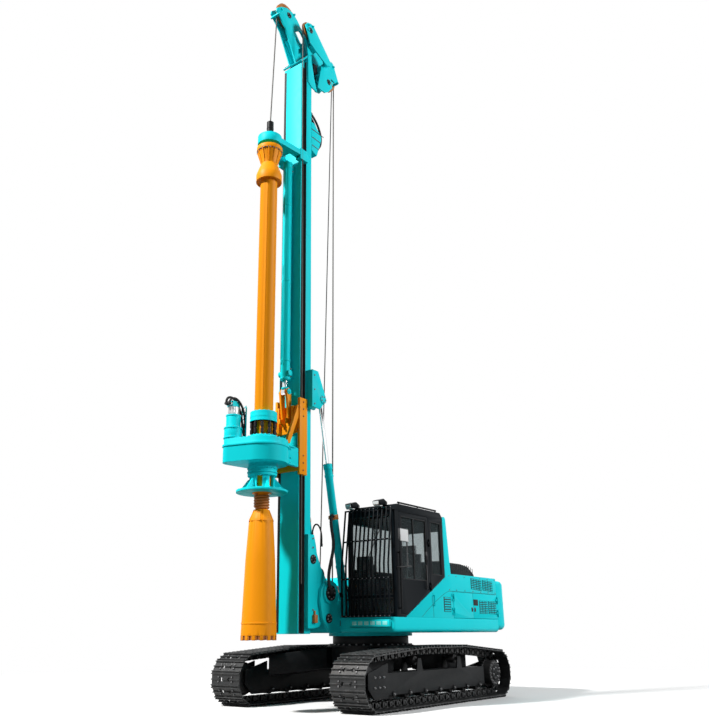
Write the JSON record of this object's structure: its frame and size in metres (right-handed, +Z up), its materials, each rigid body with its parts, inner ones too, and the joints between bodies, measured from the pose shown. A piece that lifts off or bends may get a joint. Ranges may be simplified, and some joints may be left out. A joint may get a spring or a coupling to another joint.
{
  "type": "rotary piling rig",
  "caption": "Crawler rotary piling rig with a slewing house, tilting mast, rope head, sliding rotary drive, kelly bar and drilling bucket.",
  "frame": {"origin": "on the ground under the middle of the machine's length and width", "axes": "+X forward towards the mast, +Y to the left where the cab is, +Z up"},
  "size_m": [6.26, 3.103, 12.89],
  "materials": {
    "cyan_paint": "semi-gloss enamel",
    "black_paint": "satin enamel",
    "orange_paint": "semi-gloss enamel",
    "cab_paint": "satin enamel",
    "cab_glass": "clear, lightly tinted",
    "cab_plastic": "moulded",
    "seat_cloth": "woven",
    "track_steel": "worn, dusty",
    "cast_steel": "as cast",
    "chrome_rod": "ground and plated"
  },
  "bodies": {
    "undercarriage": {"car_body": "black_paint", "frame_legs": "black_paint", "slewing_bearing": "black_paint", "track_frame_left": "black_paint", "track_frame_right": "black_paint", "track_left": "track_steel", "track_right": "track_steel", "track_rollers": "cast_steel", "front_idlers": "cast_steel", "drive_sprockets": "cast_steel"},
    "house": {"turntable": "cyan_paint", "counterweight": "cyan_paint", "left_side_panel": "cyan_paint", "right_side_panel": "cyan_paint", "door_hinges": "cyan_paint", "hood_hinge": "cyan_paint", "engine": "cast_steel", "right_tanks": "cyan_paint", "main_winch_frame": "black_paint", "cab_frame": "cab_paint", "cab_roof_shell": "cab_paint", "cab_glass": "cab_glass", "operator_seat": "seat_cloth", "control_console": "cab_plastic", "front_guard": "black_paint", "work_lamps": "black_paint", "mirror": "cab_plastic", "handrails": "black_paint"},
    "entry_door": {"cab_door": "cab_paint", "door_glass": "cab_glass"},
    "front_side_door": {"left_front_service_door": "cyan_paint"},
    "rear_side_door": {"left_rear_service_door": "cyan_paint"},
    "right_side_door": {"right_service_door": "cyan_paint"},
    "hood": {"engine_hood": "cyan_paint", "exhaust_cover": "black_paint"},
    "main_drum": {"main_winch_drum": "orange_paint"},
    "mast": {"mast_box": "cyan_paint", "mast_foot": "cyan_paint", "cylinder_brackets": "cyan_paint", "crowd_cylinder": "cyan_paint", "mast_head": "cyan_paint", "service_winch_frame": "black_paint", "hose_guide": "black_paint"},
    "tilt_cylinder_barrels": {"tilt_barrels": "cyan_paint"},
    "tilt_cylinder_rods": {"tilt_rods": "chrome_rod"},
    "main_front_wheel": {"main_front_sheave": "orange_paint"},
    "main_rear_wheel": {"main_rear_sheave": "orange_paint"},
    "service_front_wheel": {"service_front_sheave": "orange_paint"},
    "service_rear_wheel": {"service_rear_sheave": "orange_paint"},
    "service_drum": {"service_winch_drum": "orange_paint"},
    "rotary_head": {"rotary_gearbox": "cyan_paint", "drive_motor": "cyan_paint", "head_carriage": "orange_paint", "crowd_rod": "chrome_rod"},
    "sleeve": {"drive_sleeve": "cyan_paint", "kelly_buffer": "cyan_paint"},
    "kelly_head": {"kelly_guide": "cyan_paint", "rope_swivel": "black_paint"},
    "kelly": {"kelly_bar": "orange_paint", "drilling_bucket": "orange_paint"}
  },
  "joints": [
    {"name": "slew", "type": "hinge", "parent": "undercarriage", "child": "house", "pos_m": [-0.27, 0, 0.96], "axis": [0, 0, 1], "continuous": true},
    {"name": "cab_door_swing", "type": "hinge", "parent": "house", "child": "entry_door", "pos_m": [-0.077, 1.366, 2.15], "axis": [0, 0, 1], "range_deg": [0, 165]},
    {"name": "front_side_door_swing", "type": "hinge", "parent": "house", "child": "front_side_door", "pos_m": [-0.833, 1.366, 1.535], "axis": [0, 0, 1], "range_deg": [-110, 0]},
    {"name": "rear_side_door_swing", "type": "hinge", "parent": "house", "child": "rear_side_door", "pos_m": [-2.507, 1.366, 1.535], "axis": [0, 0, 1], "range_deg": [0, 110]},
    {"name": "right_side_door_swing", "type": "hinge", "parent": "house", "child": "right_side_door", "pos_m": [-1.133, -1.366, 1.535], "axis": [0, 0, 1], "range_deg": [0, 110]},
    {"name": "hood_lift", "type": "hinge", "parent": "house", "child": "hood", "pos_m": [-2.486, 0, 2.056], "axis": [0, -1, 0], "range_deg": [0, 60]},
    {"name": "main_winch_turn", "type": "hinge", "parent": "house", "child": "main_drum", "pos_m": [0.63, 0, 1.69], "axis": [0, 1, 0], "continuous": true},
    {"name": "mast_tilt", "type": "hinge", "parent": "house", "child": "mast", "pos_m": [1.35, 0, 1.68], "axis": [0, 1, 0], "range_deg": [-80, 5]},
    {"name": "tilt_barrel_swing", "type": "hinge", "parent": "house", "child": "tilt_cylinder_barrels", "pos_m": [0.87, 0, 1.5], "axis": [0, 1, 0], "range_deg": [-82.2, 5.3]},
    {"name": "tilt_rod_slide", "type": "slide", "parent": "tilt_cylinder_barrels", "child": "tilt_cylinder_rods", "axis": [0.195, 0, 0.9808], "range_m": [-0.66, 0.045]},
    {"name": "main_front_sheave_turn", "type": "hinge", "parent": "mast", "child": "main_front_wheel", "pos_m": [2.23, 0, 12.62], "axis": [0, 1, 0], "continuous": true},
    {"name": "main_rear_sheave_turn", "type": "hinge", "parent": "mast", "child": "main_rear_wheel", "pos_m": [0.895, 0, 11.96], "axis": [0, 1, 0], "continuous": true},
    {"name": "service_front_sheave_turn", "type": "hinge", "parent": "mast", "child": "service_front_wheel", "pos_m": [1.84, 0.262, 12.4], "axis": [0, 1, 0], "continuous": true},
    {"name": "service_rear_sheave_turn", "type": "hinge", "parent": "mast", "child": "service_rear_wheel", "pos_m": [1.13, 0.165, 11.65], "axis": [0, 1, 0], "continuous": true},
    {"name": "service_winch_turn", "type": "hinge", "parent": "mast", "child": "service_drum", "pos_m": [1.43, 0, 1.96], "axis": [0, 1, 0], "continuous": true},
    {"name": "head_crowd", "type": "slide", "parent": "mast", "child": "rotary_head", "axis": [0, 0, 1], "range_m": [-2.2, 0]},
    {"name": "sleeve_turn", "type": "hinge", "parent": "rotary_head", "child": "sleeve", "pos_m": [2.616, 0, 3.7], "axis": [0, 0, 1], "continuous": true},
    {"name": "kelly_hoist", "type": "slide", "parent": "rotary_head", "child": "kelly_head", "axis": [0, 0, 1], "range_m": [-4.19, 0.25]},
    {"name": "kelly_turn", "type": "hinge", "parent": "kelly_head", "child": "kelly", "pos_m": [2.616, 0, 6], "axis": [0, 0, 1], "continuous": true}
  ],
  "couplings": [
    {"joint": "tilt_barrel_swing", "follows": "mast_tilt", "ratio": 1.0246},
    {"joint": "tilt_rod_slide", "follows": "mast_tilt", "m_per_rad": 0.466},
    {"joint": "sleeve_turn", "follows": "kelly_turn", "ratio": 1}
  ]
}
